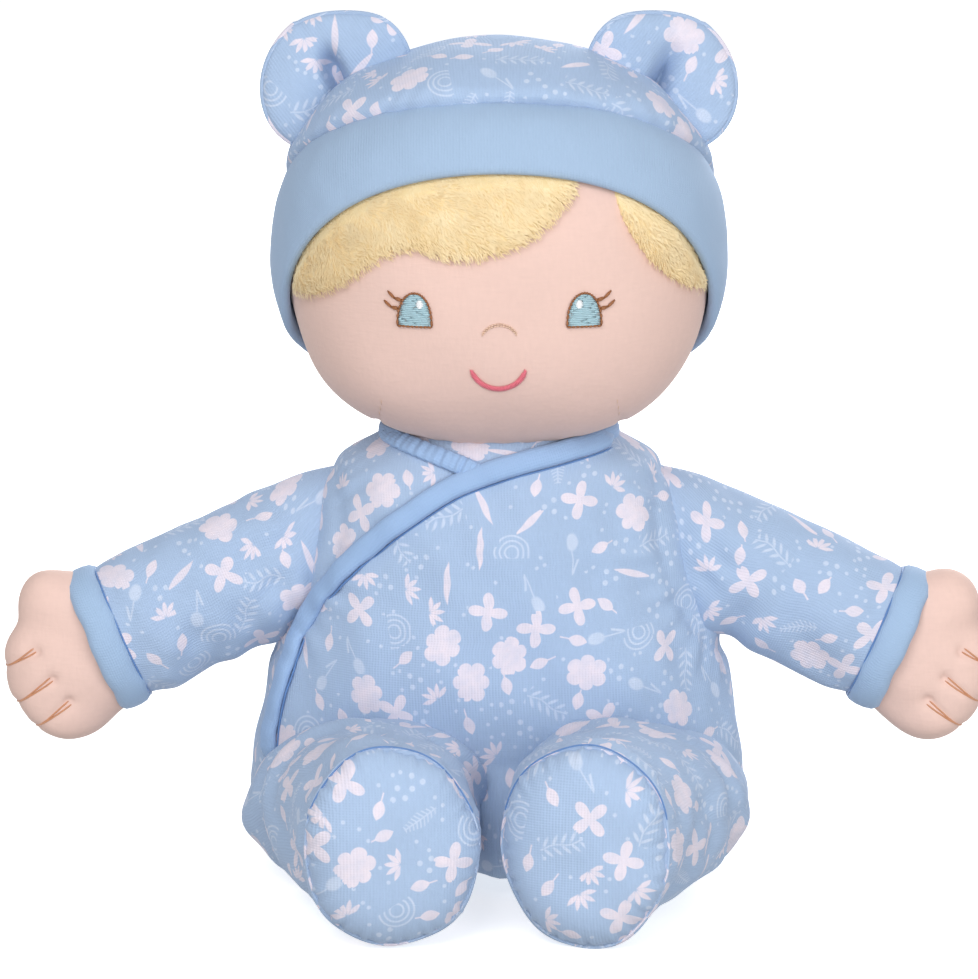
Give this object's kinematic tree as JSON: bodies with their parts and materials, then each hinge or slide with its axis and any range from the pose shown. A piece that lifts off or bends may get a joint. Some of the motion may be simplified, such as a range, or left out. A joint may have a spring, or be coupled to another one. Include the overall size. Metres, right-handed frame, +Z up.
{
  "type": "baby doll",
  "caption": "Seated plush baby doll in a wrap suit and eared bonnet, with embroidered face, soft jointed limbs and a press-to-play sound module in its body.",
  "frame": {"origin": "on the surface the doll sits on, at the middle of its flat seat", "axes": "+Z up, -Y to the doll's front, +X to the doll's own left, which is the viewer's right"},
  "size_m": [0.286, 0.1732, 0.238],
  "materials": {
    "printed_jersey": "pale blue knit with an off-white flower and rainbow print",
    "plain_jersey": "plain light blue brushed knit",
    "skin_jersey": "warm beige matte knit",
    "hair_pile": "cream-blond short pile",
    "eye_thread": "satin stitched pale blue-green thread",
    "mouth_thread": "satin stitched pink thread",
    "fine_thread": "fine beige sewing thread",
    "stuffing": "white polyester fibre",
    "lining": "thin white lining cloth",
    "case_plastic": "white moulded plastic",
    "button_plastic": "moulded plastic",
    "switch_plastic": "black plastic",
    "cone_paper": "thin black film",
    "board": "green laminate",
    "steel": "plated steel",
    "fastener_tape": "white hook and loop tape"
  },
  "bodies": {
    "torso": {"torso_front_panel": "printed_jersey", "torso_back_panel": "printed_jersey", "seat_gusset": "plain_jersey", "wrap_binding": "plain_jersey", "torso_filling": "stuffing", "pellet_bag": "lining", "module_pouch": "lining", "module_case_front": "case_plastic", "module_case_back": "case_plastic", "battery_door": "case_plastic", "module_screws": "steel", "speaker_frame": "switch_plastic", "speaker_cone": "cone_paper", "circuit_board": "board", "button_cells": "steel", "battery_contacts": "steel", "button_spring": "steel", "hook_tape": "fastener_tape"},
    "flap": {"access_flap": "printed_jersey", "loop_tape": "fastener_tape"},
    "button": {"push_button": "button_plastic"},
    "neck_outer": {"neck_cover": "skin_jersey"},
    "neck_inner": {"neck_filling": "stuffing"},
    "head": {"face_panel": "skin_jersey", "head_back_panel": "skin_jersey", "head_filling": "stuffing", "hair_fringe": "hair_pile", "hair_side": "hair_pile", "eye_left": "eye_thread", "eye_right": "eye_thread", "nose_stitching": "fine_thread", "mouth_stitching": "mouth_thread", "bonnet_crown": "printed_jersey", "bonnet_band": "plain_jersey"},
    "ear_left": {"ear_cover_left": "printed_jersey", "ear_filling_left": "stuffing"},
    "shoulder_left": {"shoulder_filling_left": "stuffing"},
    "arm_left": {"sleeve_left": "printed_jersey", "arm_filling_left": "stuffing", "cuff_left": "plain_jersey", "hand_cover_left": "skin_jersey", "hand_filling_left": "stuffing", "finger_stitching_left": "fine_thread"},
    "hip_left": {"hip_filling_left": "stuffing"},
    "leg_left": {"leg_cover_left": "printed_jersey", "sole_panel_left": "printed_jersey", "leg_filling_left": "stuffing"},
    "ear_right": {"ear_cover_right": "printed_jersey", "ear_filling_right": "stuffing"},
    "shoulder_right": {"shoulder_filling_right": "stuffing"},
    "arm_right": {"sleeve_right": "printed_jersey", "arm_filling_right": "stuffing", "cuff_right": "plain_jersey", "hand_cover_right": "skin_jersey", "hand_filling_right": "stuffing", "finger_stitching_right": "fine_thread"},
    "hip_right": {"hip_filling_right": "stuffing"},
    "leg_right": {"leg_cover_right": "printed_jersey", "sole_panel_right": "printed_jersey", "leg_filling_right": "stuffing"}
  },
  "joints": [
    {"name": "neck_turn", "type": "hinge", "parent": "torso", "child": "neck_outer", "pos_m": [0, 0, 0.119], "axis": [0, 0, 1], "range_deg": [-40, 40], "stiffness_Nm_per_rad": 0.3},
    {"name": "neck_nod", "type": "hinge", "parent": "neck_outer", "child": "neck_inner", "pos_m": [0, 0, 0.119], "axis": [1, 0, 0], "range_deg": [-12, 15], "stiffness_Nm_per_rad": 0.8},
    {"name": "neck_tilt", "type": "hinge", "parent": "neck_inner", "child": "head", "pos_m": [0, 0, 0.119], "axis": [0, 1, 0], "range_deg": [-8, 8], "stiffness_Nm_per_rad": 0.8},
    {"name": "shoulder_swing_left", "type": "hinge", "parent": "torso", "child": "shoulder_left", "pos_m": [0.056, 0, 0.084], "axis": [0, 0, -1], "range_deg": [-25, 40], "stiffness_Nm_per_rad": 0.1},
    {"name": "shoulder_raise_left", "type": "hinge", "parent": "shoulder_left", "child": "arm_left", "pos_m": [0.056, 0, 0.084], "axis": [0, -1, 0], "range_deg": [-20, 60], "stiffness_Nm_per_rad": 0.1},
    {"name": "hip_splay_left", "type": "hinge", "parent": "torso", "child": "hip_left", "pos_m": [0.038, -0.044, 0.025], "axis": [0, 0, 1], "range_deg": [-3, 18], "stiffness_Nm_per_rad": 0.3},
    {"name": "hip_lift_left", "type": "hinge", "parent": "hip_left", "child": "leg_left", "pos_m": [0.038, -0.044, 0.025], "axis": [-1, 0, 0], "range_deg": [-25, 45], "stiffness_Nm_per_rad": 0.3},
    {"name": "ear_fold_left", "type": "hinge", "parent": "head", "child": "ear_left", "pos_m": [0.0425, 0.002, 0.216], "axis": [0.7826, 0, -0.6225], "range_deg": [-30, 30], "stiffness_Nm_per_rad": 0.01},
    {"name": "shoulder_swing_right", "type": "hinge", "parent": "torso", "child": "shoulder_right", "pos_m": [-0.056, 0, 0.084], "axis": [0, 0, 1], "range_deg": [-25, 40], "stiffness_Nm_per_rad": 0.1},
    {"name": "shoulder_raise_right", "type": "hinge", "parent": "shoulder_right", "child": "arm_right", "pos_m": [-0.056, 0, 0.084], "axis": [0, 1, 0], "range_deg": [-20, 60], "stiffness_Nm_per_rad": 0.1},
    {"name": "hip_splay_right", "type": "hinge", "parent": "torso", "child": "hip_right", "pos_m": [-0.038, -0.044, 0.025], "axis": [0, 0, -1], "range_deg": [-3, 18], "stiffness_Nm_per_rad": 0.3},
    {"name": "hip_lift_right", "type": "hinge", "parent": "hip_right", "child": "leg_right", "pos_m": [-0.038, -0.044, 0.025], "axis": [-1, 0, 0], "range_deg": [-25, 45], "stiffness_Nm_per_rad": 0.3},
    {"name": "ear_fold_right", "type": "hinge", "parent": "head", "child": "ear_right", "pos_m": [-0.0425, 0.002, 0.216], "axis": [0.7826, 0, 0.6225], "range_deg": [-30, 30], "stiffness_Nm_per_rad": 0.01},
    {"name": "flap_open", "type": "hinge", "parent": "torso", "child": "flap", "pos_m": [0, 0.0422, 0.069], "axis": [1, 0, 0], "range_deg": [0, 110]},
    {"name": "button_press", "type": "slide", "parent": "torso", "child": "button", "axis": [0, 1, 0], "range_m": [0, 0.0015], "stiffness_N_per_m": 600, "springref_m": -0.001, "deforming": ["button_spring"]}
  ]
}
